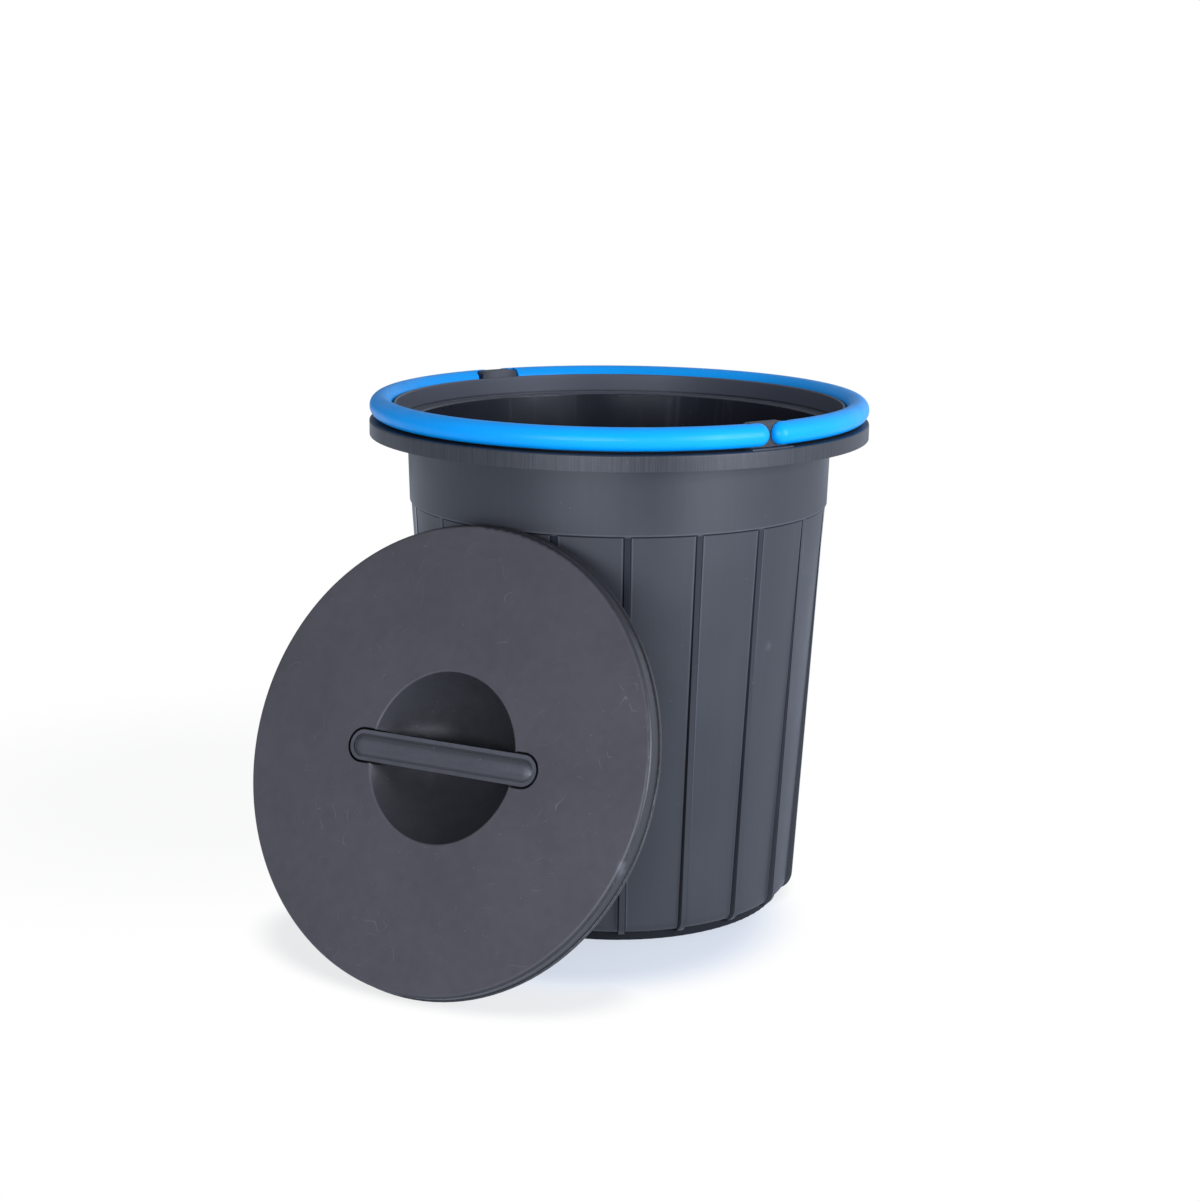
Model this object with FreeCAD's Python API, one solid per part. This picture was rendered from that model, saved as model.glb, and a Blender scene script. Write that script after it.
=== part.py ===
import FreeCAD, Part
import math
import os

# A 25 litre household bin of dark moulded plastic, with its lid taken off
# and leaned against it.
# Millimetres. The origin is the centre of the foot on the floor, +Z is up,
# and the lid leans on the front left, between -X and -Y.
# Heights of the bin are measured from the floor.

# Bin body: foot and base
foot_inset = 8.4
foot_wall = 2.6
foot_height = 7.7
base_thickness = 2.6
foot_edge_round = 1.0

# Bin body: tapered wall with its sunk panels
wall = 2.2
panel_sink = 1.1
panel_taper = 20.5
panel_turn_round = 8.0
inner_corner_round = 12.0

# Bin body: smooth collar above the panels
collar_height = 311.6
collar_low_radius = 160.0
collar_flare = 1.7
collar_edge_round = 0.6

# Bin body: ledge that the lid sits on, and the lip round it
ledge_rise = 59.8
lip_step = 10.4
lip_wall = 2.4
lip_rise = 14.8
lip_edge_round = 1.15

# Bin body: flange under the carrying ring
flange_width = 17.9
flange_rise = 2.5
flange_thickness = 2.6
flange_skirt = 11.4
flange_round = 1.2

# Bin body: upright ribs
rib_count = 19
rib_width = 5.0
rib_edge_round = 0.7
rib_first_angle = -87.5
rib_top_stand = 0.2
rib_low_stand = 3.9
rib_low_height = 5.2
rib_turn_round = 14.0

# Carrying ring: two half rings that fold up to a pair of bails
ring_tube = 8.36
ring_angle = -54.7
ring_lip_gap = 0.94
ring_flange_gap = 1.6
half_gap = 1.85

# Pivots of the half rings on the rim
lug_end_reach = 5.8
lug_corner_round = 3.5
lug_top_inset = 0.4
lug_swing_gap = 0.5
lug_face_gap = 0.35
lug_sink = 1.2
pad_height = 1.0
pad_side = 2.3
pad_edge_inset = 2.4
stud_radius = 4.0
stud_length = 6.0
stud_clearance = 0.07
stud_end_gap = 0.8
stud_chamfer = 0.6

# Lid: a flat cap with a rounded shoulder, a skirt and a hand bowl
lid_clearance = 1.6
lid_height = 12.3
lid_wall = 2.2
lid_bead = 1.2
lid_bead_height = 2.2
lid_bead_round = 0.7
lid_draft = 0.7
lid_shoulder_round = 3.0
bowl_radius = 61.2
bowl_depth = 34.4
bowl_edge_round = 1.2

# Lid: how it leans on the bin
lid_lean = 21.25
lid_side_angle = -121.55
lid_rest_gap = 0.3

# Grip bar across the bowl, set into two pockets of the lid
grip_seat = 18.0
grip_width = 21.9
grip_thickness = 10.0
grip_turn = 1.6
grip_underside_round = 3.5
pocket_gap = 1.3
pocket_wall = 2.0
rim_width = 2.8
rim_depth = 1.4
pad_crown = 1.7
peg_radius = 3.0
peg_clearance = 0.1
peg_length = 4.0
peg_from_end = 9.0

# Heights stacked up from the collar's lower edge
ledge_height = collar_height + ledge_rise
lip_height = ledge_height + lip_rise
flange_top = ledge_height + flange_rise
flange_skirt_bottom = flange_top - flange_skirt
pad_top = flange_top + pad_height
pivot_height = flange_top + ring_flange_gap + ring_tube

# Radii stepped out and in from the collar's lower edge
panel_top_radius = collar_low_radius - panel_sink
panel_low_radius = panel_top_radius - panel_taper
foot_radius = panel_low_radius - foot_inset
collar_top_radius = collar_low_radius + collar_flare
lip_radius = collar_top_radius + lip_step
flange_radius = lip_radius + flange_width
pad_outer_radius = flange_radius - pad_edge_inset
ring_radius = lip_radius + ring_lip_gap + ring_tube
lip_inner_radius = lip_radius - lip_wall
lid_radius = lip_inner_radius - lid_clearance

# Along the rim from the middle of a pivot block
pivot_offset = ring_tube + half_gap
lug_half_length = pivot_offset + lug_end_reach
lug_top_reach = ring_tube - lug_top_inset
lug_corner_reach = lug_corner_round + math.hypot(lug_end_reach - lug_corner_round,
                                                 lug_top_reach - lug_corner_round)
shoulder_offset = pivot_offset + lug_corner_reach + lug_swing_gap
pad_half_length = lug_half_length + pad_side
tongue_face = ring_radius
lug_face = tongue_face - lug_face_gap

grip_length = 2 * (bowl_radius + grip_seat)
cut_margin = 30.0

UP = FreeCAD.Vector(0, 0, 1)
ORIGIN = FreeCAD.Vector(0, 0, 0)


def point(radius, height):
    return FreeCAD.Vector(radius, 0, height)


def between(start, end, height):
    """Radius at a height on the straight line through two profile points."""
    share = (height - start[1]) / (end[1] - start[1])
    return start[0] + share * (end[0] - start[0])


def rounded_wire(corners):
    """Closed wire in the XZ plane from (radius, height, rounding) corners."""
    edges = []
    count = len(corners)
    starts = []
    ends = []
    middles = []
    for i in range(count):
        before = point(*corners[i - 1][:2])
        here = point(*corners[i][:2])
        after = point(*corners[(i + 1) % count][:2])
        rounding = corners[i][2]
        to_before = (before - here).normalize()
        to_after = (after - here).normalize()
        if rounding == 0:
            starts.append(here)
            ends.append(here)
            middles.append(None)
            continue
        half = to_before.getAngle(to_after) / 2
        reach = rounding / math.tan(half)
        bisector = (to_before + to_after).normalize()
        middle = here + bisector * (rounding / math.sin(half) - rounding)
        starts.append(here + to_before * reach)
        ends.append(here + to_after * reach)
        middles.append(middle)
    for i in range(count):
        if middles[i] is not None:
            edges.append(Part.Arc(starts[i], middles[i], ends[i]).toShape())
        following = starts[(i + 1) % count]
        if ends[i].distanceToPoint(following) > 1e-6:
            edges.append(Part.LineSegment(ends[i], following).toShape())
    return Part.Wire(edges)


def turned(corners):
    """Solid of revolution about Z of a rounded profile."""
    return Part.Face(rounded_wire(corners)).revolve(ORIGIN, UP, 360)


def plate(corners, width):
    """Upright plate of a rounded profile, centred on the XZ plane."""
    solid = Part.Face(rounded_wire(corners)).extrude(FreeCAD.Vector(0, width, 0))
    solid.translate(FreeCAD.Vector(0, -width / 2, 0))
    return solid


def stadium(length, width, height):
    """Upright block with half round ends, along X, from Z = 0."""
    end_radius = width / 2
    reach = length / 2 - end_radius
    block = Part.makeBox(2 * reach, width, height, FreeCAD.Vector(-reach, -end_radius, 0))
    for side in (-1, 1):
        block = block.fuse(Part.makeCylinder(end_radius, height, FreeCAD.Vector(side * reach, 0, 0)))
    return block.removeSplitter()


# The tub

def panel_radius(height):
    return between((panel_low_radius, foot_height), (panel_top_radius, collar_height), height)


def collar_radius(height):
    return between((collar_low_radius, collar_height), (collar_top_radius, ledge_height), height)


def rib_radius(height):
    """Radius of the ribs' outer edge, which stand out more towards the floor."""
    low = (panel_low_radius + rib_low_stand, foot_height)
    return between(low, (panel_top_radius + rib_top_stand, collar_height), height)


def tub():
    base_top = foot_height + wall
    ledge_bottom = ledge_height - lip_wall
    flange_bottom = flange_top - flange_thickness
    skirt_inner = flange_radius - flange_thickness
    inner_top = collar_radius(ledge_height) - wall
    inner_collar = panel_top_radius - wall
    inner_low = panel_radius(base_top) - wall
    foot_inner = foot_radius - foot_wall
    return turned([
        (0, base_top - base_thickness, 0),
        (foot_inner, base_top - base_thickness, foot_edge_round),
        (foot_inner, 0, foot_edge_round / 2),
        (foot_radius, 0, foot_edge_round),
        (foot_radius, foot_height, 0),
        (panel_low_radius, foot_height, panel_turn_round),
        (panel_top_radius, collar_height, 0),
        (collar_low_radius, collar_height, collar_edge_round),
        (collar_radius(ledge_bottom), ledge_bottom, 0),
        (lip_radius, ledge_bottom, 0),
        (lip_radius, flange_bottom, 0),
        (skirt_inner, flange_bottom, 0),
        (skirt_inner, flange_skirt_bottom, 0),
        (flange_radius, flange_skirt_bottom, 0),
        (flange_radius, flange_top, flange_round),
        (lip_radius, flange_top, 0),
        (lip_radius, lip_height, lip_edge_round),
        (lip_inner_radius, lip_height, lip_edge_round),
        (lip_inner_radius, ledge_height, 0),
        (inner_top, ledge_height, wall / 2),
        (inner_collar, collar_height, 0),
        (inner_low, base_top, inner_corner_round),
        (0, base_top, 0),
    ])


def rib():
    """One rib, along +X: it follows the panel's turn in to the foot's wall."""
    inside = wall / 2
    inner = foot_radius - rib_turn_round
    low_outer = rib_radius(rib_low_height)
    top = collar_height + collar_edge_round
    solid = plate([
        (inner, rib_low_height, 0),
        (low_outer, rib_low_height, rib_turn_round),
        (rib_radius(top), top, 0),
        (panel_radius(top) - inside, top, 0),
        (panel_low_radius - inside, foot_height + panel_turn_round, panel_turn_round),
        (foot_radius - inside, foot_height + inside, 0),
        (inner, foot_height + inside, 0),
    ], rib_width)
    solid = solid.makeFillet(rib_edge_round, outer_edges(solid))
    return solid.cut(Part.makeCylinder(foot_radius - inside, collar_height))


def outer_edges(solid):
    """Long outer edges of a rib plate, on both of its sides."""
    edges = []
    for edge in solid.Edges:
        box = edge.BoundBox
        along_side = box.YLength < rib_edge_round
        outside = box.XMax > panel_radius(box.ZMax)
        upright = box.ZLength > rib_edge_round
        if along_side and outside and upright:
            edges.append(edge)
    return edges


def lug():
    """Rim block between the ends of the half rings, along +X."""
    inner = lip_radius - lug_sink
    top = pivot_height + lug_top_reach
    bottom = flange_top - flange_thickness / 2
    section = rounded_wire([
        (-lug_half_length, bottom, 0),
        (lug_half_length, bottom, 0),
        (lug_half_length, top, lug_corner_round),
        (-lug_half_length, top, lug_corner_round),
    ])
    block = Part.Face(section).extrude(FreeCAD.Vector(0, lug_face - inner, 0))
    block.rotate(ORIGIN, UP, -90)
    block.translate(FreeCAD.Vector(inner, 0, 0))
    return block


def pad():
    """Low raised step of the flange under the ends of the half rings."""
    bottom = flange_top - flange_thickness / 2
    tall = pad_top - bottom
    block = Part.makeBox(
        cut_margin, 2 * pad_half_length, tall,
        FreeCAD.Vector(lip_radius - lug_sink, -pad_half_length, bottom),
    )
    return block.common(Part.makeCylinder(pad_outer_radius, tall, FreeCAD.Vector(0, 0, bottom)))


def pivot_holes():
    holes = []
    for side in (-1, 1):
        mouth = FreeCAD.Vector(lug_face, side * pivot_offset, pivot_height)
        depth = stud_length - lug_face_gap + stud_end_gap
        hole = Part.makeCylinder(stud_radius + stud_clearance, depth, mouth, FreeCAD.Vector(-1, 0, 0))
        holes.append(hole)
    return holes


def at_both_pivots(shape):
    """Copies of a shape made along +X, at the two ends of the pivot line."""
    copies = []
    for half_turn in (0, 180):
        copy = shape.copy()
        copy.rotate(ORIGIN, UP, ring_angle + half_turn)
        copies.append(copy)
    return copies


def bin_body():
    added = []
    pattern = rib()
    for i in range(rib_count):
        one = pattern.copy()
        one.rotate(ORIGIN, UP, rib_first_angle + i * 360.0 / rib_count)
        added.append(one)
    added += at_both_pivots(lug())
    added += at_both_pivots(pad())
    body = tub().multiFuse(added)
    holes = []
    for hole in pivot_holes():
        holes += at_both_pivots(hole)
    body = body.cut(holes)
    return body.removeSplitter()


# The carrying ring

def half_ring():
    """Half ring on the +Y side, its pivots on the line along X."""
    start_angle = math.degrees(math.asin(pivot_offset / ring_radius))
    end_x = math.sqrt(ring_radius ** 2 - pivot_offset ** 2)
    section = Part.Face(Part.Wire(Part.makeCircle(ring_tube, point(ring_radius, pivot_height),
                                                  FreeCAD.Vector(0, 1, 0))))
    section.rotate(ORIGIN, UP, start_angle)
    half = section.revolve(ORIGIN, UP, 180 - 2 * start_angle)
    for side in (-1, 1):
        end = FreeCAD.Vector(side * end_x, pivot_offset, pivot_height)
        half = half.fuse(Part.makeSphere(ring_tube, end))
    half = half.removeSplitter()
    for side in (-1, 1):
        half = half.cut(tongue_relief(side))
    for side in (-1, 1):
        half = half.fuse(stud(side))
    return half


def tongue_relief(side):
    """What is cut from a ring end so that its outer half passes the lug."""
    tall = 2 * (ring_tube + half_gap)
    block = Part.makeBox(
        cut_margin, shoulder_offset + cut_margin, tall,
        FreeCAD.Vector(tongue_face - cut_margin, -cut_margin, pivot_height - tall / 2),
    )
    if side < 0:
        block = block.mirror(ORIGIN, FreeCAD.Vector(1, 0, 0))
    return block


def stud(side):
    """Pivot stud on the inner face of a tongue, with a chamfered tip."""
    inward = FreeCAD.Vector(-side, 0, 0)
    root = FreeCAD.Vector(side * (tongue_face + stud_chamfer), pivot_offset, pivot_height)
    shank = Part.makeCylinder(stud_radius, stud_length, root, inward)
    tip = Part.makeCone(stud_radius, stud_radius - stud_chamfer, stud_chamfer,
                        root + inward * stud_length, inward)
    return shank.fuse(tip).removeSplitter()


def handle(turn):
    half = half_ring()
    half.rotate(ORIGIN, UP, ring_angle + turn)
    return half


# The lid and its grip, built flat with the face up and the free edge at Z = 0

def bowl_sphere(radius_cut):
    """Ball whose lower cap is the bowl, larger by radius_cut."""
    ball = (bowl_radius ** 2 + bowl_depth ** 2) / (2 * bowl_depth)
    centre = FreeCAD.Vector(0, 0, lid_height - bowl_depth + ball)
    return Part.makeSphere(ball + radius_cut, centre)


def lid_skin():
    """Flat cap with its shoulder, skirt and bead."""
    outer = lid_radius - lid_bead
    top_outer = outer - lid_draft
    inner = outer - lid_wall
    top_inner = top_outer - lid_wall
    under = lid_height - lid_wall
    inner_round = lid_shoulder_round - lid_wall
    return turned([
        (0, under, 0),
        (top_inner, under, inner_round),
        (inner, 0, 0),
        (lid_radius, 0, 0),
        (lid_radius, lid_bead_height, lid_bead_round),
        (outer, lid_bead_height, 0),
        (top_outer, lid_height, lid_shoulder_round),
        (0, lid_height, 0),
    ])


def under_face(shape):
    """The part of a shape below the plane of the lid's face."""
    reach = lid_radius
    room = Part.makeBox(2 * reach, 2 * reach, reach, FreeCAD.Vector(-reach, -reach, lid_height - reach))
    return shape.common(room)


def pocket_outline(extra, depth):
    """Stadium block for the grip's seat, down from the lid's face."""
    spread = 2 * (pocket_gap + extra)
    block = stadium(grip_length + spread, grip_width + spread, depth)
    block.translate(FreeCAD.Vector(0, 0, lid_height - depth))
    return block


def bowl_rim(cap):
    """Edges of the bowl's mouth in the plane of the lid's face."""
    rim = []
    for edge in cap.Edges:
        box = edge.BoundBox
        on_face = box.ZMin > lid_height - 0.01
        if on_face and abs(box.XMax - bowl_radius) < 0.01 and abs(box.XMin + bowl_radius) < 0.01:
            rim.append(edge)
    return rim


def lid_flat():
    cap = lid_skin().fuse(under_face(bowl_sphere(lid_wall))).removeSplitter()
    cap = cap.cut(bowl_sphere(0))
    cap = cap.makeFillet(bowl_edge_round, bowl_rim(cap))
    seat = pocket_outline(pocket_wall, grip_thickness + pocket_wall).cut(bowl_sphere(0))
    cap = cap.fuse(seat).removeSplitter()
    cap = cap.cut(pocket_outline(0, grip_thickness))
    for hole in pegs(peg_radius + peg_clearance, pocket_wall * 2):
        cap = cap.cut(hole)
    return cap


def pegs(radius, length):
    """Two pegs under the grip's ends, down from the pocket floor."""
    reach = grip_length / 2 - peg_from_end
    made = []
    for side in (-1, 1):
        top = FreeCAD.Vector(side * reach, 0, lid_height - grip_thickness)
        made.append(Part.makeCylinder(radius, length, top, FreeCAD.Vector(0, 0, -1)))
    return made


def crowned_pad(half_length, half_width):
    """Low pillow with half round ends, its edge at Z = 0."""
    ball = (half_width ** 2 + pad_crown ** 2) / (2 * pad_crown)
    depth = ball - pad_crown
    reach = half_length - half_width
    pillow = Part.makeCylinder(ball, 2 * reach, FreeCAD.Vector(-reach, 0, -depth), FreeCAD.Vector(1, 0, 0))
    for side in (-1, 1):
        pillow = pillow.fuse(Part.makeSphere(ball, FreeCAD.Vector(side * reach, 0, -depth)))
    room = Part.makeBox(4 * half_length, 4 * half_width, pad_crown + rim_depth,
                        FreeCAD.Vector(-2 * half_length, -2 * half_width, -rim_depth / 2))
    outline = stadium(2 * half_length, 2 * half_width, pad_crown + rim_depth)
    outline.translate(FreeCAD.Vector(0, 0, -rim_depth / 2))
    return pillow.common(room).common(outline)


def grip_flat():
    bar = stadium(grip_length, grip_width, grip_thickness)
    lower = [edge for edge in bar.Edges if edge.BoundBox.ZMax < 0.001]
    bar = bar.makeFillet(grip_underside_round, lower)
    recess = stadium(grip_length - 2 * rim_width, grip_width - 2 * rim_width, rim_depth)
    recess.translate(FreeCAD.Vector(0, 0, grip_thickness - rim_depth))
    bar = bar.cut(recess)
    pillow = crowned_pad(grip_length / 2 - rim_width - pocket_gap, grip_width / 2 - rim_width - pocket_gap)
    pillow.translate(FreeCAD.Vector(0, 0, grip_thickness - rim_depth))
    bar = bar.fuse(pillow)
    bar.translate(FreeCAD.Vector(0, 0, lid_height - grip_thickness))
    for peg in pegs(peg_radius, peg_length):
        bar = bar.fuse(peg)
    return bar.removeSplitter()


def outer_profile():
    """Corners of the bin's outline that a leaned lid can meet, from the ribs up."""
    return [
        (rib_radius(rib_turn_round), rib_turn_round),
        (rib_radius(collar_height), collar_height),
        (collar_low_radius, collar_height),
        (collar_radius(flange_skirt_bottom), flange_skirt_bottom),
        (flange_radius, flange_skirt_bottom),
        (flange_radius, flange_top),
        (ring_radius + ring_tube, pivot_height),
    ]


def lean_distance(tall, slope):
    """Distance of the lid's foot from the bin's axis when it reaches up to tall."""
    corners = outer_profile()
    distances = []
    for low, high in zip(corners, corners[1:]):
        if low[1] < tall:
            distances.append(low[0] + low[1] * slope)
            if high[1] > tall:
                high = (between(low, high, tall), tall)
            distances.append(high[0] + high[1] * slope)
    return max(distances)


def leaned(shape):
    """Stands a flat lid piece on its edge and leans it on the bin."""
    lean = math.radians(lid_lean)
    tall = 2 * lid_radius * math.cos(lean)
    foot_distance = lean_distance(tall, math.tan(lean)) + lid_rest_gap
    shape.rotate(ORIGIN, UP, grip_turn)
    shape.rotate(ORIGIN, UP, 90)
    shape.rotate(ORIGIN, FreeCAD.Vector(0, 1, 0), 90 - lid_lean)
    away = foot_distance - lid_radius * math.sin(lean)
    shape.translate(FreeCAD.Vector(away, 0, lid_radius * math.cos(lean)))
    shape.rotate(ORIGIN, UP, lid_side_angle)
    return shape


def main():
    os.makedirs("parts", exist_ok=True)
    nodes = {
        "bin_body": bin_body(),
        "handle_right": handle(0),
        "handle_left": handle(180),
        "lid_cap": leaned(lid_flat()),
        "lid_grip": leaned(grip_flat()),
    }
    for name, shape in nodes.items():
        shape.exportStep(os.path.join("parts", name + ".step"))
        print(name, "solids", len(shape.Solids), "valid", shape.isValid(), "volume", round(shape.Volume))


main()
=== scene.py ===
import math

import bpy
from mathutils import Matrix, Vector


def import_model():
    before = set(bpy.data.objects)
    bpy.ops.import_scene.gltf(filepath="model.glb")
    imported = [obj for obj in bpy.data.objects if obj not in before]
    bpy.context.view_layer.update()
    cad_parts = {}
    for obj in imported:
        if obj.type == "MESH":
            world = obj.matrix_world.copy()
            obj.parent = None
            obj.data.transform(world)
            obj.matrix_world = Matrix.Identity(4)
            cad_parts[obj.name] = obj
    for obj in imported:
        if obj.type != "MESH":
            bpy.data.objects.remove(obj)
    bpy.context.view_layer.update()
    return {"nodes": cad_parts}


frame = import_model()

# Lengths are metres. A fade is (from, to): the mask is 0 at the first value and 1 at the second.
# A tone is (low, high, tone at low, tone at high). A zone is (low, high, soft): the mask is 1 between
# the first two and fades to 0 over the third. A pattern is (scale, detail) or (scale, detail, roughness).

# Camera: place, tilts and lens of the photograph's view
CAMERA_PLACE = Vector((0.0, -1.67176, 0.60817))
CAMERA_PITCH = 0.22252
CAMERA_YAW = -0.00792
CAMERA_ROLL = 0.00975
FOCAL_PIXELS = 2200.0
IMAGE_LONG_SIDE = 1201.0
SENSOR = 36.0
NEAR_CLIP = 0.05
FAR_CLIP = 100.0

# Bin: heights, radii and ribs of the model, for what is painted by place
COLLAR_EDGE = 0.3116
LEDGE = 0.3714
LEDGE_INNER_RADIUS = 0.1640
LIP_RADIUS = 0.1721
FLANGE_RADIUS = 0.1900
FLANGE_TOP = 0.3739
FOOT_HEIGHT = 0.0077
RIB_COUNT = 19
RIB_FIRST_ANGLE = math.radians(-87.5)
RIB_HALF_WIDTH = 0.0025
UNROLLING_RADIUS = 0.16

# Lid: centre of its face, the way that the face looks, its radius and the bowl's
LID_CENTRE = (-0.12178, -0.19834, 0.16113)
LID_NORMAL = (-0.48767, -0.79424, 0.36244)
LID_FACE_RADIUS = 0.1650
BOWL_RADIUS = 0.0612

# Grip bar: its long and cross directions, half the straight length, half the width, rim and seam
GRIP_ALONG = (0.85715, -0.51441, 0.02602)
GRIP_ACROSS = (0.16577, 0.32335, 0.93164)
GRIP_HALF_STRAIGHT = 0.06825
GRIP_HALF_WIDTH = 0.01095
GRIP_RIM = 0.0028
GRIP_SEAM = 0.0013
GRIP_PAD_REACH = GRIP_HALF_WIDTH - GRIP_RIM
SEAM_REACH = GRIP_HALF_WIDTH + GRIP_SEAM

# Colours, linear
BIN_GREY = (0.037, 0.039, 0.046)
LID_GREY = (0.069, 0.065, 0.071)
BOWL_GREY = (0.026, 0.026, 0.029)
# Smoother plastic painted darker: painted shade inside the bin and on the grip's side wall, a painted
# dark reflection on the ribs' upper parts; also used for the rim blocks
SMOOTH_AND_PAINTED_DARK_GREY = (0.020, 0.022, 0.029)
# Painted shade: in the crease under the collar, at the ledge corner, at the foot, along the ribs' edges,
# and in the lid's seam and pocket round the grip
PAINTED_SHADE_GREY = (0.004, 0.0045, 0.006)
# Painted light on the lip's inner band
LIP_PAINTED_LIGHT_GREY = (0.082, 0.087, 0.106)
# Painted highlight on the ledge
LEDGE_HIGHLIGHT_GREY = (0.125, 0.130, 0.150)
STREAK_GREY = (0.060, 0.066, 0.080)
GRIP_GREY = (0.060, 0.061, 0.068)
RING_BLUE = (0.0005, 0.375, 0.97)
# Pale dust, scuffs and rubs, also used for painted highlights beside the ribs and along the collar's edge
PALE_DUST_AND_GLINT = (0.24, 0.25, 0.28)
RING_DUST = (0.45, 0.62, 0.85)
FLOOR_GREY = (0.50, 0.52, 0.57)
FLOOR_SHEEN = (0.74, 0.82, 0.98)
SHADE_TINT = (0.83, 1.00, 1.30)
WHITE = (1.0, 1.0, 1.0)
COOL = (0.90, 0.96, 1.10)

# Reflection level of plain plastic, of the bin's painted shade in creases, at the foot and along the
# ribs, of the lid's painted shade in its seam and pocket, and of the ring
PLAIN_SPECULAR = 0.5
PAINTED_SHADE_SPECULAR = 0.12
SEAM_SHADE_SPECULAR = 0.1
RING_SPECULAR = 0.24

# Specks and scratches, as parts of their size or width
SPECK_CORE = 0.6
SPECK_CHOICE_FADE = 0.02
SCRATCH_MIDDLE = 0.5
SCRATCH_CORE = 0.4
SCRATCH_STRETCH = 0.03
SCRATCH_PATCHES = (26.0, 1.0)
SCRATCH_PATCH_FADE = (0.52, 0.62)
SCRATCH_BREAKS = (95.0, 1.0)
SCRATCH_BREAK_FADE = (0.50, 0.60)

# Bin: where its zones lie, among them those of painted light on the lip, painted highlights on the ledge,
# beside the ribs and along the collar's edge, and painted shade at the ledge corner, foot, rib edges and
# crease under the collar
FACES_OUT = (0.3, 0.6)
FACES_IN = (-0.3, -0.6)
FACES_OUT_AT_COLLAR = (0.1, 0.4)
ABOVE_LEDGE = (LEDGE - 0.0006, LEDGE + 0.0002)
ON_LEDGE = (LEDGE + 0.0005, LEDGE + 0.0001)
WITHIN_LEDGE = (LEDGE_INNER_RADIUS, LEDGE_INNER_RADIUS - 0.001)
WITHIN_LIP = (LIP_RADIUS - 0.0006, LIP_RADIUS - 0.0012)
LEDGE_CORNER_HEIGHTS = (LEDGE + 0.0005, LEDGE + 0.0016, 0.0005)
LEDGE_CORNER_RADII = (LEDGE_INNER_RADIUS, LEDGE_INNER_RADIUS + 0.002)
ON_SKIRT = (FLANGE_RADIUS - 0.003, FLANGE_RADIUS - 0.001)
BLOCK_HEIGHTS = (FLANGE_TOP + 0.0014, FLANGE_TOP + 0.0022)
BLOCK_RADII = (LIP_RADIUS + 0.0004, LIP_RADIUS + 0.0012)
ON_FOOT = (FOOT_HEIGHT + 0.0006, FOOT_HEIGHT - 0.0004)
WALL_HEIGHTS = (FOOT_HEIGHT, COLLAR_EDGE - 0.0010, 0.0004)
ON_RIB = (RIB_HALF_WIDTH + 0.0002, RIB_HALF_WIDTH - 0.0002)
# Heights over which the ribs are smoother and take a painted dark reflection, strongest at the top
RIB_SMOOTH_AND_DARK_HEIGHTS = (0.10, 0.30, 0.25, 1.0)
RIB_EDGE = (RIB_HALF_WIDTH - 0.0003, RIB_HALF_WIDTH + 0.0003, 0.0003)
RIB_GLINT = (RIB_HALF_WIDTH + 0.0010, RIB_HALF_WIDTH + 0.0014, 0.0004)
CREASE_HEIGHTS = (COLLAR_EDGE - 0.0010, COLLAR_EDGE - 0.0002, 0.0003)
BESIDE_RIB = (RIB_HALF_WIDTH - 0.0005, RIB_HALF_WIDTH + 0.0005)
COLLAR_GLINT_HEIGHTS = (COLLAR_EDGE + 0.0002, COLLAR_EDGE + 0.0010, 0.0004)

# Bin: marks of the mould and of use, and the strength of its painted shade and painted highlights
BIN_CLOUD = (14.0, 3.0)
BIN_GRAIN = (1600.0, 1.0)
DRAW_STRETCH = (420.0, 3.0, 60.0)
DRAW = (1.0, 3.0, 0.6)
WIDE_DRAW_STRETCH = (75.0, 6.0, 20.0)
WIDE_DRAW = (1.0, 2.0)
HATCH_STRETCH = (1700.0, 30.0, 60.0)
HATCH = (1.0, 1.0)
BIN_DUST = (150.0, 0.09, 0.88)
WALL_SPOT = (0.1112, -0.1034, 0.2205)
WALL_SPOT_FADE = (0.0085, 0.0010)
WALL_SPOT_EDGE = (400.0, 2.0)
WALL_SPOT_RAGGED = 0.006
STREAK_PATCHES = (11.0, 1.0)
STREAK_FADE = (0.53, 0.72)
STREAK_PATCH_FADE = (0.46, 0.60)
STREAK_HEIGHTS = (0.27, 0.35)
BIN_TONE = (0.3, 0.7, 0.93, 1.07)
HATCH_TONE = (0.3, 0.7, -0.36, 0.12)
BIN_ROUGHNESS = (0.3, 0.7, 0.40, 0.50)
SMOOTH_LESS_ROUGH = 0.22
BIN_CLOUD_SHARE = 0.6
BIN_DRAW_SHARE = 0.4
PAINTED_SHADE_AMOUNT = 0.65
BLOCK_AMOUNT = 0.6
STREAK_AMOUNT = 0.6
BIN_DUST_AMOUNT = 0.3
WALL_SPOT_AMOUNT = 0.2
GLINT_AMOUNT = 0.14
BIN_GRAIN_HEIGHT = 0.5
DRAW_HEIGHT = 0.6
HATCH_HEIGHT = 0.6
BIN_BUMP = 0.00006

# Lid: where its zones lie, as height over its face (less than 0 is inside it) and reach from its centre
ON_LID_TOP = (-0.0012, -0.0004)
WITHIN_FACE = (LID_FACE_RADIUS + 0.0010, LID_FACE_RADIUS - 0.0008)
# The pocket and seam zones are where shade is painted round the grip, the seam a little wider than the
# gap
POCKET_HEIGHTS = (-0.0017, -0.0006, 0.0003)
POCKET_REACHES = (BOWL_RADIUS + 0.0015, LID_FACE_RADIUS - 0.03, 0.0008)
SEAM_HEIGHTS = (-0.0017, 0.0004, 0.0003)
SEAM_EDGE = (SEAM_REACH + 0.0008, SEAM_REACH + 0.0003)
OUTSIDE_BOWL = (BOWL_RADIUS + 0.0005, BOWL_RADIUS + 0.0020)

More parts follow.
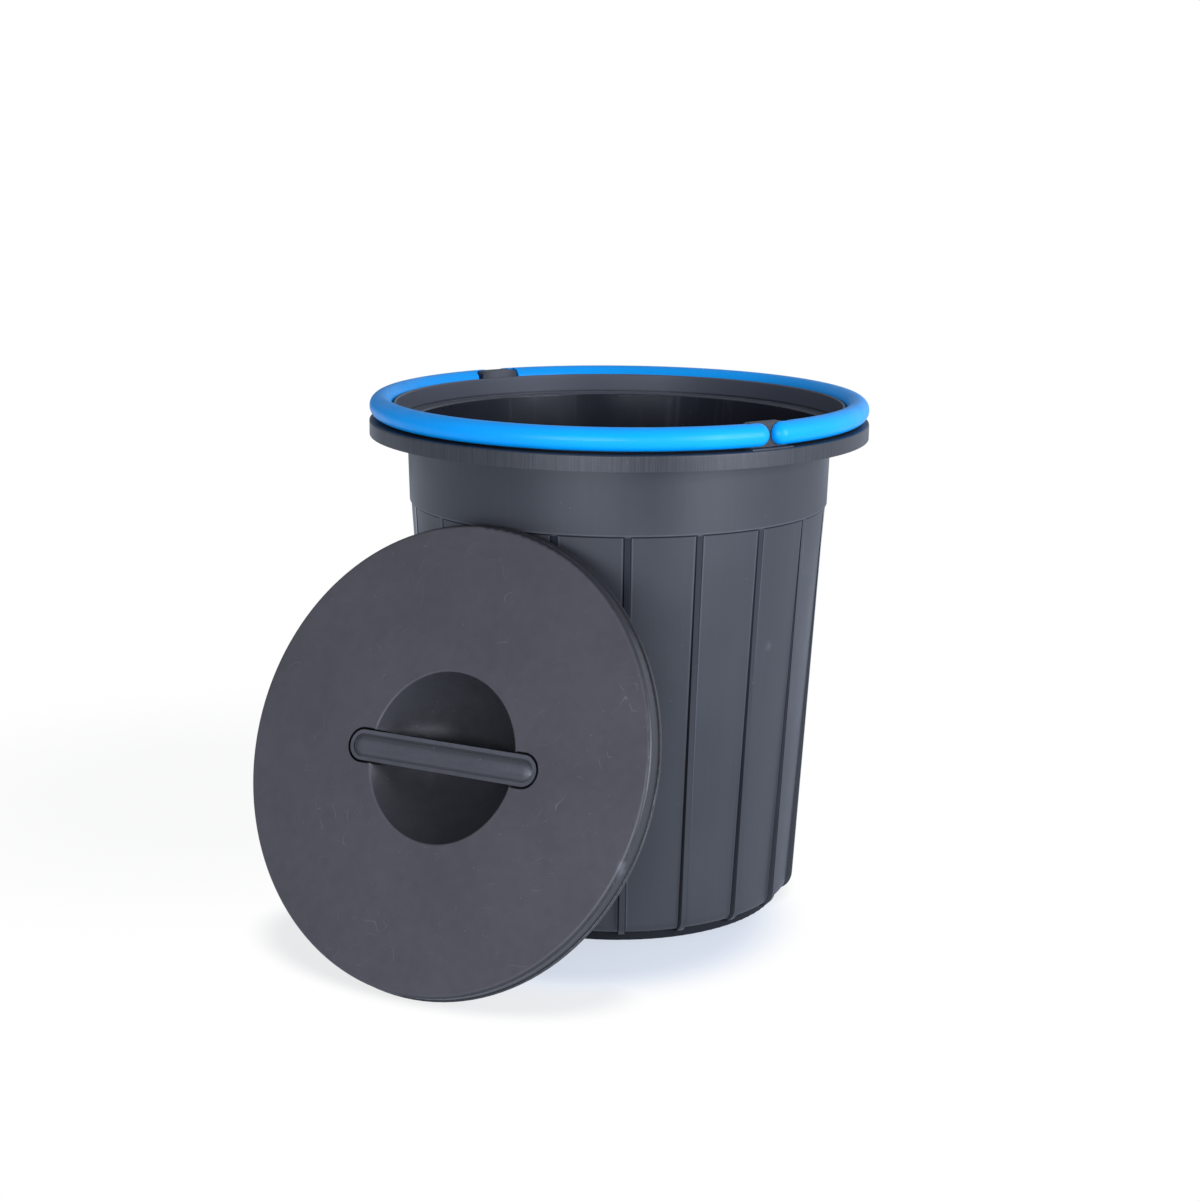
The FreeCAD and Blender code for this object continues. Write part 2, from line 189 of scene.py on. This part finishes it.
# Lid: marks of the mould and of use
LID_CLOUD = (16.0, 3.0)
LID_GRAIN = (1800.0, 1.0)
LID_MOTTLE = (120.0, 4.0, 0.6)
COARSE_DUST = (130.0, 0.08, 0.80)
FINE_DUST = (260.0, 0.12, 0.90)
FIRST_SCRATCH_TURN = (0.2, 0.5, 0.9)
FIRST_SCRATCHES = (55.0, 0.005)
SECOND_SCRATCH_TURN = (1.1, -0.4, -0.6)
SECOND_SCRATCHES = (80.0, 0.006)
LID_RUB = (0.0053, -0.2960, 0.1165)
LID_RUB_STRETCH = (1.0, 1.0, 0.45)
LID_RUB_FADE = (0.013, 0.007)
LID_RUB_RAGGED = 0.014
LID_TONE = (0.3, 0.7, 0.90, 1.10)
LID_CLOUD_SHARE = 0.6
LID_MOTTLE_SHARE = 0.4
LID_ROUGHNESS = (0.3, 0.7, 0.33, 0.40)
FACE_MORE_ROUGH = 0.13
SCUFF_MORE_ROUGH = 0.15
LID_DUST_AMOUNT = 0.28
SCUFF_AMOUNT = 0.26
LID_RUB_AMOUNT = 0.28
MOTTLE_HEIGHT = (0.0, 1.0, 0.15, 0.6)
LID_BUMP = 0.00005

# Grip: where its zones lie, as reach from its middle line and place across it
ON_RIM = (GRIP_PAD_REACH - 0.0003, GRIP_PAD_REACH + 0.0003)
GROOVE = (GRIP_PAD_REACH - 0.0014, GRIP_PAD_REACH - 0.0006, 0.0006)
CREST_MIDDLE = 0.0002
CREST_FADE = (0.0044, 0.0008)
RIGHT_END = (0.035, 0.066)
UPPER_SIDE = (0.0024, 0.0050)
SIDE_WALL = (0.60, 0.35)

# Grip: tones and marks, with its painted highlights on the rim and crest and painted shade in the groove
# and on the upper side
GRIP_CLOUD = (40.0, 3.0)
GRIP_GRAIN = (2200.0, 1.0)
GRIP_RUB = (320.0, 4.0, 0.65)
GRIP_RUB_TURN = (0.4, 0.3, 0.2)
GRIP_DUST = (150.0, 0.12, 0.84)
GRIP_TONE = (0.35, 0.65, 0.93, 1.08)
GRIP_SHARE = 0.5
CREST_HIGHLIGHT = (0.0, 1.0, 0.14, 0.30)
UPPER_SIDE_SHADE = (0.0, 1.0, 1.0, 0.80)
GROOVE_SHADE = (0.0, 1.0, 1.0, 0.82)
RIM_HIGHLIGHT = (-0.008, 0.008, 0.04, 0.26)
GRIP_ROUGHNESS = (0.35, 0.65, 0.36, 0.50)
GRIP_DUST_AMOUNT = 0.3
GRIP_RUB_HEIGHT = 1.2
GRIP_BUMP = 0.00006

# Ring: tones and marks
RING_CLOUD = (12.0, 2.0)
RING_GRAIN = (1400.0, 1.0)
RING_MOTTLE = (90.0, 3.0)
RING_SPECKS = (120.0, 0.10, 0.90)
RING_TONE = (0.3, 0.7, 0.95, 1.05)
RING_ROUGHNESS = (0.3, 0.7, 0.34, 0.44)
RING_DUST_AMOUNT = 0.25
RING_MOTTLE_HEIGHT = 0.5
RING_BUMP = 0.00003

# Floor: its size, its plain look, and where the shade round the bin and the lid fades to white
FLOOR_HALF = 6.0
FLOOR_ROUGHNESS = 0.9
FLOOR_FRONT_GLOW = (-0.5, -1.4, 1.0, 0.15)
BIN_SHADE_PLACE = (-0.03, -0.07, 0.0)
BIN_SHADE = (0.120, 0.183, 0.60, 1.0)
FOOT_SHADE_PLACE = (0.0, 0.0, 0.0)
FOOT_SHADE = (0.130, 0.147, 0.78, 1.0)
LID_SHADE_PLACE = (-0.1235, -0.1631, 0.0)
LID_SHADE_TURN = 0.5506
LID_SHADE_LENGTH = 0.17
LID_SHADE_WIDTH = 0.098
LID_SHADE = (0.78, 1.02, 0.76, 1.0)
SIDE_SHADE_PLACE = (-0.36, 0.22, 0.0)
SIDE_SHADE = (0.10, 0.40, 0.93, 1.0)

# Surroundings: how bright they are to the left and right, in front and overhead
SIDE_FADE = (-0.4, 0.8)
LEFT_LEVEL = (0.10, 0.50, 0.16, 0.70)
RIGHT_LEVEL = 1.0
FRONT_LEVEL = (-0.35, -0.85, 1.0, 0.20)
OVERHEAD_LEVEL = (0.15, 0.60, 1.0, 0.55)

# Lamps: name, place, width, height and power, all aimed at one point
LAMP_TARGET = (0.0, 0.0, 0.2)
LAMPS = (
    ("key_right", (1.4, -1.3, 0.65), 1.0, 1.0, 29.0),
    ("front_left", (-0.55, -2.0, 0.50), 1.3, 0.5, 23.5),
)


def rgba(colour):
    return (colour[0], colour[1], colour[2], 1.0)


def product_of(first, second):
    return tuple(a * b for a, b in zip(first, second))


class Nodes:
    """Short calls for building a node tree."""

    def __init__(self, tree):
        self.tree = tree

    def add(self, kind, **settings):
        node = self.tree.nodes.new(kind)
        for key, value in settings.items():
            setattr(node, key, value)
        return node

    def put(self, socket, value):
        if isinstance(value, bpy.types.NodeSocket):
            self.tree.links.new(value, socket)
        else:
            socket.default_value = value

    def coordinates(self, kind):
        return self.add("ShaderNodeTexCoord").outputs[kind]

    def ray(self, kind):
        """1 for rays of one kind, 0 for all others."""
        return self.add("ShaderNodeLightPath").outputs[kind]

    def math(self, operation, a, b=0.0):
        node = self.add("ShaderNodeMath", operation=operation)
        self.put(node.inputs[0], a)
        self.put(node.inputs[1], b)
        return node.outputs[0]

    def fold(self, operation, values):
        result = values[0]
        for value in values[1:]:
            result = self.math(operation, result, value)
        return result

    def all_of(self, *values):
        return self.fold("MULTIPLY", values)

    def total(self, *values):
        return self.fold("ADD", values)

    def largest(self, *values):
        return self.fold("MAXIMUM", values)

    def smallest(self, *values):
        return self.fold("MINIMUM", values)

    def opposite(self, value):
        return self.math("SUBTRACT", 1.0, value)

    def band(self, value, low, high, out_low=0.0, out_high=1.0):
        """Smooth step of a value between two limits."""
        node = self.add("ShaderNodeMapRange", interpolation_type="SMOOTHSTEP")
        self.put(node.inputs["Value"], value)
        self.put(node.inputs["From Min"], low)
        self.put(node.inputs["From Max"], high)
        self.put(node.inputs["To Min"], out_low)
        self.put(node.inputs["To Max"], out_high)
        return node.outputs["Result"]

    def window(self, value, low, high, soft):
        """1 between two limits, 0 outside of them."""
        return self.all_of(self.band(value, low - soft, low), self.band(value, high + soft, high))

    def noise(self, vector, scale, detail, roughness=0.5):
        node = self.add("ShaderNodeTexNoise")
        self.put(node.inputs["Vector"], vector)
        self.put(node.inputs["Scale"], scale)
        self.put(node.inputs["Detail"], detail)
        self.put(node.inputs["Roughness"], roughness)
        return node.outputs["Fac"]

    def vector_math(self, operation, a, b, output):
        node = self.add("ShaderNodeVectorMath", operation=operation)
        self.put(node.inputs[0], a)
        self.put(node.inputs[1], b)
        return node.outputs[output]

    def stretch(self, vector, scale):
        return self.vector_math("MULTIPLY", vector, scale, "Vector")

    def shift(self, vector, place):
        """Vector measured from a place."""
        return self.vector_math("SUBTRACT", vector, place, "Vector")

    def distance(self, vector, place):
        return self.vector_math("DISTANCE", vector, place, "Value")

    def along(self, vector, direction):
        return self.vector_math("DOT_PRODUCT", vector, direction, "Value")

    def scale(self, vector, factor):
        node = self.add("ShaderNodeVectorMath", operation="SCALE")
        self.put(node.inputs[0], vector)
        self.put(node.inputs["Scale"], factor)
        return node.outputs[0]

    def turn(self, vector, rotation):
        node = self.add("ShaderNodeMapping")
        self.put(node.inputs["Vector"], vector)
        self.put(node.inputs["Rotation"], rotation)
        return node.outputs[0]

    def combine(self, x, y, z):
        node = self.add("ShaderNodeCombineXYZ")
        for socket, value in zip(node.inputs, (x, y, z)):
            self.put(socket, value)
        return node.outputs[0]

    def split(self, vector):
        node = self.add("ShaderNodeSeparateXYZ")
        self.put(node.inputs[0], vector)
        return node.outputs

    def mix(self, factor, a, b, blend="MIX"):
        node = self.add("ShaderNodeMix", data_type="RGBA", blend_type=blend)
        self.put(node.inputs[0], factor)
        self.put(node.inputs[6], a)
        self.put(node.inputs[7], b)
        return node.outputs[2]

    def toned(self, colour, tone):
        """Colour made lighter or darker by a tone."""
        return self.mix(1.0, colour, self.combine(tone, tone, tone), "MULTIPLY")

    def specks(self, vector, scale, size, sparse):
        """Sparse round specks: 1 in a speck, 0 elsewhere."""
        node = self.add("ShaderNodeTexVoronoi", feature="F1")
        self.put(node.inputs["Vector"], vector)
        self.put(node.inputs["Scale"], scale)
        near = self.band(node.outputs["Distance"], size, size * SPECK_CORE)
        split = self.add("ShaderNodeSeparateColor")
        self.put(split.inputs[0], node.outputs["Color"])
        chosen = self.band(split.outputs[0], sparse, sparse + SPECK_CHOICE_FADE)
        return self.all_of(near, chosen)

    def scratches(self, vector, rotation, scale, width):
        """Short thin lines along one direction, in patches."""
        turned = self.turn(vector, rotation)
        stretched = self.stretch(turned, (scale, scale * SCRATCH_STRETCH, scale))
        field = self.noise(stretched, 1.0, 0.0)
        off_line = self.math("ABSOLUTE", self.math("SUBTRACT", field, SCRATCH_MIDDLE))
        line = self.band(off_line, width, width * SCRATCH_CORE)
        patch = self.band(self.noise(vector, *SCRATCH_PATCHES), *SCRATCH_PATCH_FADE)
        broken = self.band(self.noise(vector, *SCRATCH_BREAKS), *SCRATCH_BREAK_FADE)
        return self.all_of(line, self.all_of(patch, broken))

    def from_grip_line(self, from_centre):
        """Distance from the straight middle line of the grip bar, seen along the lid's normal."""
        along = self.math("ABSOLUTE", self.along(from_centre, GRIP_ALONG))
        across = self.along(from_centre, GRIP_ACROSS)
        past_end = self.largest(self.math("SUBTRACT", along, GRIP_HALF_STRAIGHT), 0.0)
        return self.math("SQRT", self.total(self.all_of(past_end, past_end), self.all_of(across, across)))


def material(name):
    made = bpy.data.materials.new(name)
    made.use_nodes = True
    nodes = Nodes(made.node_tree)
    shader = made.node_tree.nodes["Principled BSDF"]
    return made, nodes, shader, nodes.coordinates("Object")


def surface(nodes, shader, colour, rough, height, distance):
    """Connects colour, roughness and a height for the bump to the shader."""
    nodes.put(shader.inputs["Base Color"], colour)
    nodes.put(shader.inputs["Roughness"], rough)
    bump = nodes.add("ShaderNodeBump")
    bump.inputs["Strength"].default_value = 1.0
    bump.inputs["Distance"].default_value = distance
    nodes.put(bump.inputs["Height"], height)
    nodes.put(shader.inputs["Normal"], bump.outputs[0])


def less_shine(nodes, shader, painted_shade, level):
    """Lowers the reflection where shade is painted dark."""
    nodes.put(shader.inputs["Specular IOR Level"], nodes.band(painted_shade, 0.0, 1.0, PLAIN_SPECULAR, level))


def bin_zones(n, x, y, z, radius, angle):
    """Masks of the bin's parts: inside, lip, ledge, skirt, rim blocks, foot, ribs and collar's edge, with
    painted shade at the ledge corner, foot, rib edges and crease under the collar, and painted highlights
    beside the ribs and along the collar's edge.
    """
    outward = n.math("DIVIDE", n.along(n.coordinates("Normal"), n.combine(x, y, 0.0)), radius)
    above_ledge = n.band(z, *ABOVE_LEDGE)
    lip = n.all_of(above_ledge, n.band(radius, *WITHIN_LIP))
    turns = n.all_of(n.math("SUBTRACT", angle, RIB_FIRST_ANGLE), RIB_COUNT / (2.0 * math.pi))
    rib_arc = n.all_of(radius, 2.0 * math.pi / RIB_COUNT)
    off_rib = n.all_of(n.math("PINGPONG", turns, 0.5), rib_arc)
    on_wall = n.all_of(n.band(outward, *FACES_OUT), n.window(z, *WALL_HEIGHTS))
    at_collar = n.band(outward, *FACES_OUT_AT_COLLAR)
    return {
        "inside": n.all_of(
            n.band(outward, *FACES_IN),
            n.band(radius, *WITHIN_LEDGE),
            n.opposite(above_ledge),
        ),
        "lip": lip,
        "ledge": n.all_of(lip, n.band(z, *ON_LEDGE)),
        # Painted shade in the corner just above the ledge
        "ledge_corner_shade": n.all_of(
            lip,
            n.window(z, *LEDGE_CORNER_HEIGHTS),
            n.band(radius, *LEDGE_CORNER_RADII),
        ),
        "skirt": n.band(radius, *ON_SKIRT),
        "block": n.all_of(n.band(z, *BLOCK_HEIGHTS), n.band(radius, *BLOCK_RADII)),
        # Painted shade at the foot
        "foot": n.band(z, *ON_FOOT),
        "rib": n.all_of(on_wall, n.band(off_rib, *ON_RIB), n.band(z, *RIB_SMOOTH_AND_DARK_HEIGHTS)),
        # Painted shade along the ribs' edges, and a painted highlight beside them
        "rib_edge_shade": n.all_of(on_wall, n.window(off_rib, *RIB_EDGE)),
        "rib_glint": n.all_of(on_wall, n.window(off_rib, *RIB_GLINT)),
        # Painted shade in the crease under the collar's edge, and a painted highlight along the edge
        "crease_shade": n.all_of(at_collar, n.window(z, *CREASE_HEIGHTS), n.band(off_rib, *BESIDE_RIB)),
        "collar_glint": n.all_of(at_collar, n.window(z, *COLLAR_GLINT_HEIGHTS)),
    }


def bin_material():
    made, n, shader, place = material("bin_plastic")
    x, y, z = n.split(place)
    radius = n.math("SQRT", n.total(n.all_of(x, x), n.all_of(y, y)))
    angle = n.math("ARCTAN2", y, x)
    unrolled = n.combine(n.all_of(angle, UNROLLING_RADIUS), z, radius)
    zone = bin_zones(n, x, y, z, radius, angle)
    # Inside the bin and on the ribs' upper parts the plastic is smoother and painted darker: painted
    # shade inside, a painted dark reflection on the ribs
    smooth_painted_dark = n.largest(zone["inside"], zone["rib"])
    # Painted shade at the foot, in the crease under the collar and along the ribs' edges
    painted_shade = n.largest(zone["foot"], zone["crease_shade"], zone["rib_edge_shade"])

    # What the mould and use have left on the plastic
    cloud = n.noise(place, *BIN_CLOUD)
    grain = n.noise(place, *BIN_GRAIN)
    draw = n.noise(n.stretch(unrolled, DRAW_STRETCH), *DRAW)
    wide_draw = n.noise(n.stretch(unrolled, WIDE_DRAW_STRETCH), *WIDE_DRAW)
    hatch = n.noise(n.stretch(unrolled, HATCH_STRETCH), *HATCH)
    dust = n.specks(place, *BIN_DUST)
    ragged = n.all_of(n.noise(place, *WALL_SPOT_EDGE), WALL_SPOT_RAGGED)
    spot = n.band(n.total(n.distance(place, WALL_SPOT), ragged), *WALL_SPOT_FADE)
    streaks = n.all_of(
        zone["inside"],
        n.band(wide_draw, *STREAK_FADE),
        n.band(n.noise(place, *STREAK_PATCHES), *STREAK_PATCH_FADE),
        n.band(z, *STREAK_HEIGHTS),
    )

    blend = n.total(n.all_of(cloud, BIN_CLOUD_SHARE), n.all_of(draw, BIN_DRAW_SHARE))
    hatched = n.total(1.0, n.all_of(zone["skirt"], n.band(hatch, *HATCH_TONE)))
    colour = n.toned(rgba(BIN_GREY), n.all_of(n.band(blend, *BIN_TONE), hatched))
    colour = n.mix(smooth_painted_dark, colour, rgba(SMOOTH_AND_PAINTED_DARK_GREY))
    # Painted light on the lip's inner band, a painted highlight on the ledge, and painted shade in the
    # corner above the ledge
    colour = n.mix(zone["lip"], colour, rgba(LIP_PAINTED_LIGHT_GREY))
    colour = n.mix(zone["ledge"], colour, rgba(LEDGE_HIGHLIGHT_GREY))
    colour = n.mix(n.all_of(zone["ledge_corner_shade"], PAINTED_SHADE_AMOUNT), colour, rgba(PAINTED_SHADE_GREY))
    colour = n.mix(n.all_of(painted_shade, PAINTED_SHADE_AMOUNT), colour, rgba(PAINTED_SHADE_GREY))
    colour = n.mix(n.all_of(zone["block"], BLOCK_AMOUNT), colour, rgba(SMOOTH_AND_PAINTED_DARK_GREY))
    colour = n.mix(n.all_of(streaks, STREAK_AMOUNT), colour, rgba(STREAK_GREY))
    # Pale dust and the pale spot, and painted highlights beside the ribs and along the collar's edge
    light = n.largest(
        n.all_of(dust, BIN_DUST_AMOUNT),
        n.all_of(spot, WALL_SPOT_AMOUNT),
        n.all_of(n.largest(zone["rib_glint"], zone["collar_glint"]), GLINT_AMOUNT),
    )
    colour = n.mix(light, colour, rgba(PALE_DUST_AND_GLINT))
    rough = n.math("SUBTRACT", n.band(cloud, *BIN_ROUGHNESS), n.all_of(smooth_painted_dark, SMOOTH_LESS_ROUGH))
    height = n.total(
        n.all_of(grain, BIN_GRAIN_HEIGHT),
        n.all_of(draw, DRAW_HEIGHT),
        n.all_of(zone["skirt"], hatch, HATCH_HEIGHT),
    )
    surface(n, shader, colour, rough, height, BIN_BUMP)
    less_shine(n, shader, painted_shade, PAINTED_SHADE_SPECULAR)
    return made


def lid_material():
    made, n, shader, place = material("lid_plastic")
    from_centre = n.shift(place, LID_CENTRE)
    above = n.along(from_centre, LID_NORMAL)
    reach = n.distance(from_centre, n.scale(LID_NORMAL, above))
    face = n.all_of(n.band(above, *ON_LID_TOP), n.band(reach, *WITHIN_FACE))
    # Painted shade in the grip's pocket and in the seam round the grip, fading out between 0.3 and 0.8 mm
    # past the gap
    pocket_shade = n.all_of(n.window(above, *POCKET_HEIGHTS), n.window(reach, *POCKET_REACHES))
    seam_shade = n.all_of(
        n.window(above, *SEAM_HEIGHTS),
        n.band(n.from_grip_line(from_centre), *SEAM_EDGE),
        n.band(reach, *OUTSIDE_BOWL),
    )
    painted_shade = n.largest(pocket_shade, seam_shade)

    # What the mould and use have left on the plastic
    cloud = n.noise(place, *LID_CLOUD)
    grain = n.noise(place, *LID_GRAIN)
    mottle = n.noise(place, *LID_MOTTLE)
    dust = n.largest(n.specks(place, *COARSE_DUST), n.specks(place, *FINE_DUST))
    scratches = n.largest(
        n.scratches(place, FIRST_SCRATCH_TURN, *FIRST_SCRATCHES),
        n.scratches(from_centre, SECOND_SCRATCH_TURN, *SECOND_SCRATCHES),
    )
    scuff = n.all_of(scratches, face)
    from_rub = n.distance(n.stretch(place, LID_RUB_STRETCH), product_of(LID_RUB, LID_RUB_STRETCH))
    rub = n.band(n.total(from_rub, n.all_of(mottle, LID_RUB_RAGGED)), *LID_RUB_FADE)

    blend = n.total(n.all_of(cloud, LID_CLOUD_SHARE), n.all_of(mottle, LID_MOTTLE_SHARE))
    colour = n.toned(n.mix(face, rgba(BOWL_GREY), rgba(LID_GREY)), n.band(blend, *LID_TONE))
    light = n.largest(
        n.all_of(dust, LID_DUST_AMOUNT),
        n.all_of(scuff, SCUFF_AMOUNT),
        n.all_of(rub, LID_RUB_AMOUNT),
    )
    colour = n.mix(light, colour, rgba(PALE_DUST_AND_GLINT))
    colour = n.mix(painted_shade, colour, rgba(PAINTED_SHADE_GREY))
    rough = n.total(
        n.band(mottle, *LID_ROUGHNESS),
        n.all_of(face, FACE_MORE_ROUGH),
        n.all_of(scuff, SCUFF_MORE_ROUGH),
    )
    height = n.total(grain, n.all_of(mottle, n.band(face, *MOTTLE_HEIGHT)))
    surface(n, shader, colour, rough, height, LID_BUMP)
    less_shine(n, shader, painted_shade, SEAM_SHADE_SPECULAR)
    return made


def grip_painted_light(n, from_centre):
    """Painted highlights on the rim, lighter on its upper side, and on the crest, stronger towards the
    right end; painted shade in the groove and on the upper side of the pad.
    """
    reach = n.from_grip_line(from_centre)
    across = n.along(from_centre, GRIP_ACROSS)
    rim = n.band(reach, *ON_RIM)
    on_pad = n.opposite(rim)
    groove = n.window(reach, *GROOVE)
    off_crest = n.math("ABSOLUTE", n.math("SUBTRACT", across, CREST_MIDDLE))
    crest = n.all_of(n.band(off_crest, *CREST_FADE), on_pad)
    right_end = n.band(n.along(from_centre, GRIP_ALONG), *RIGHT_END)
    upper = n.all_of(n.band(across, *UPPER_SIDE), on_pad)
    return n.all_of(
        n.total(1.0, n.all_of(crest, n.band(right_end, *CREST_HIGHLIGHT))),
        n.band(upper, *UPPER_SIDE_SHADE),
        n.band(groove, *GROOVE_SHADE),
        n.total(1.0, n.all_of(rim, n.band(across, *RIM_HIGHLIGHT))),
    )


def grip_material():
    made, n, shader, place = material("grip_plastic")
    cloud = n.noise(place, *GRIP_CLOUD)
    grain = n.noise(place, *GRIP_GRAIN)
    rub = n.noise(n.turn(place, GRIP_RUB_TURN), *GRIP_RUB)
    dust = n.specks(place, *GRIP_DUST)
    blend = n.total(n.all_of(cloud, GRIP_SHARE), n.all_of(rub, GRIP_SHARE))
    # Tone at random, with the grip's painted highlights and painted shade
    tone = n.all_of(n.band(blend, *GRIP_TONE), grip_painted_light(n, n.shift(place, LID_CENTRE)))
    colour = n.toned(rgba(GRIP_GREY), tone)
    colour = n.mix(n.all_of(dust, GRIP_DUST_AMOUNT), colour, rgba(PALE_DUST_AND_GLINT))
    # Painted shade on the grip's side wall, which widens the dark seam round it
    side_wall_shade = n.band(n.along(n.coordinates("Normal"), LID_NORMAL), *SIDE_WALL)
    colour = n.mix(side_wall_shade, colour, rgba(SMOOTH_AND_PAINTED_DARK_GREY))
    height = n.total(grain, n.all_of(rub, GRIP_RUB_HEIGHT))
    surface(n, shader, colour, n.band(rub, *GRIP_ROUGHNESS), height, GRIP_BUMP)
    return made


def ring_material():
    made, n, shader, place = material("ring_plastic")
    cloud = n.noise(place, *RING_CLOUD)
    grain = n.noise(place, *RING_GRAIN)
    mottle = n.noise(place, *RING_MOTTLE)
    dust = n.specks(place, *RING_SPECKS)
    colour = n.toned(rgba(RING_BLUE), n.band(cloud, *RING_TONE))
    colour = n.mix(n.all_of(dust, RING_DUST_AMOUNT), colour, rgba(RING_DUST))
    height = n.total(grain, n.all_of(mottle, RING_MOTTLE_HEIGHT))
    surface(n, shader, colour, n.band(mottle, *RING_ROUGHNESS), height, RING_BUMP)
    shader.inputs["Specular IOR Level"].default_value = RING_SPECULAR
    return made


def dress():
    finishes = {
        "bin_body": bin_material(),
        "lid_cap": lid_material(),
        "lid_grip": grip_material(),
    }
    ring = ring_material()
    finishes["handle_right"] = ring
    finishes["handle_left"] = ring
    for name, finish in finishes.items():
        node = frame["nodes"][name]
        node.data.materials.clear()
        node.data.materials.append(finish)


def camera():
    forward = Vector((
        math.sin(CAMERA_YAW) * math.cos(CAMERA_PITCH),
        math.cos(CAMERA_YAW) * math.cos(CAMERA_PITCH),
        -math.sin(CAMERA_PITCH),
    ))
    right = Vector((math.cos(CAMERA_YAW), -math.sin(CAMERA_YAW), 0.0))
    up = right.cross(forward)
    turned_right = math.cos(CAMERA_ROLL) * right + math.sin(CAMERA_ROLL) * up
    turned_up = math.cos(CAMERA_ROLL) * up - math.sin(CAMERA_ROLL) * right
    data = bpy.data.cameras.new("camera")
    data.sensor_width = SENSOR
    data.lens = SENSOR * FOCAL_PIXELS / IMAGE_LONG_SIDE
    data.clip_start = NEAR_CLIP
    data.clip_end = FAR_CLIP
    made = bpy.data.objects.new("camera", data)
    rotation = Matrix((turned_right, turned_up, -forward)).transposed().to_4x4()
    made.matrix_world = Matrix.Translation(CAMERA_PLACE) @ rotation
    bpy.context.scene.collection.objects.link(made)
    bpy.context.scene.camera = made


def area_light(name, place, width, height, power):
    data = bpy.data.lights.new(name, "AREA")
    data.shape = "RECTANGLE"
    data.size = width
    data.size_y = height
    data.energy = power
    data.color = COOL
    made = bpy.data.objects.new(name, data)
    made.location = place
    made.rotation_mode = "QUATERNION"
    made.rotation_quaternion = (Vector(LAMP_TARGET) - Vector(place)).to_track_quat("-Z", "Y")
    bpy.context.scene.collection.objects.link(made)


def seen_directly(nodes):
    """1 for camera, glossy and transmission rays."""
    return nodes.largest(
        nodes.ray("Is Camera Ray"),
        nodes.ray("Is Transmission Ray"),
        nodes.ray("Is Glossy Ray"),
    )


def floor_glow(n, place):
    """Colour and share of the white that covers the floor away from the object's shade."""
    from_bin = n.band(n.distance(place, BIN_SHADE_PLACE), *BIN_SHADE)
    from_foot = n.band(n.distance(place, FOOT_SHADE_PLACE), *FOOT_SHADE)
    under_lid = n.turn(n.shift(place, LID_SHADE_PLACE), (0.0, 0.0, LID_SHADE_TURN))
    under_lid = n.stretch(under_lid, (1.0 / LID_SHADE_LENGTH, 1.0 / LID_SHADE_WIDTH, 0.0))
    from_lid = n.band(n.distance(under_lid, (0.0, 0.0, 0.0)), *LID_SHADE)
    from_side = n.band(n.distance(place, SIDE_SHADE_PLACE), *SIDE_SHADE)
    share = n.all_of(n.smallest(from_bin, from_lid, from_foot), from_side)
    in_picture = n.mix(from_bin, rgba(SHADE_TINT), rgba(WHITE))
    return n.mix(n.ray("Is Camera Ray"), rgba(FLOOR_SHEEN), in_picture), share


def floor():
    mesh = bpy.data.meshes.new("floor")
    signs = ((-1, -1), (1, -1), (1, 1), (-1, 1))
    corners = [(across * FLOOR_HALF, back * FLOOR_HALF, 0.0) for across, back in signs]
    mesh.from_pydata(corners, [], [(0, 1, 2, 3)])
    made = bpy.data.objects.new("floor", mesh)
    bpy.context.scene.collection.objects.link(made)
    paint, n, shader, place = material("floor")
    shader.inputs["Base Color"].default_value = rgba(FLOOR_GREY)
    shader.inputs["Roughness"].default_value = FLOOR_ROUGHNESS
    toward_front = n.band(n.split(place)[1], *FLOOR_FRONT_GLOW)
    colour, share = floor_glow(n, place)
    glow = n.add("ShaderNodeEmission")
    n.put(glow.inputs["Strength"], n.largest(toward_front, n.ray("Is Camera Ray")))
    n.put(glow.inputs["Color"], colour)
    both = n.add("ShaderNodeMixShader")
    n.put(both.inputs[0], n.all_of(share, seen_directly(n)))
    n.put(both.inputs[1], shader.outputs[0])
    n.put(both.inputs[2], glow.outputs[0])
    n.put(paint.node_tree.nodes["Material Output"].inputs["Surface"], both.outputs[0])
    mesh.materials.append(paint)


def world():
    made = bpy.data.worlds.new("world")
    bpy.context.scene.world = made
    made.use_nodes = True
    n = Nodes(made.node_tree)
    back = made.node_tree.nodes["Background"]
    x, y, z = n.split(n.coordinates("Generated"))
    side = n.band(x, *SIDE_FADE, n.band(z, *LEFT_LEVEL), RIGHT_LEVEL)
    around = n.all_of(side, n.all_of(n.band(y, *FRONT_LEVEL), n.band(z, *OVERHEAD_LEVEL)))
    seen = n.ray("Is Camera Ray")
    n.put(back.inputs["Color"], n.mix(seen, rgba(COOL), rgba(WHITE)))
    n.put(back.inputs["Strength"], n.largest(around, seen))


def lights():
    for lamp in LAMPS:
        area_light(*lamp)


camera()
dress()
floor()
world()
lights()
bpy.context.scene.view_settings.view_transform = "Standard"
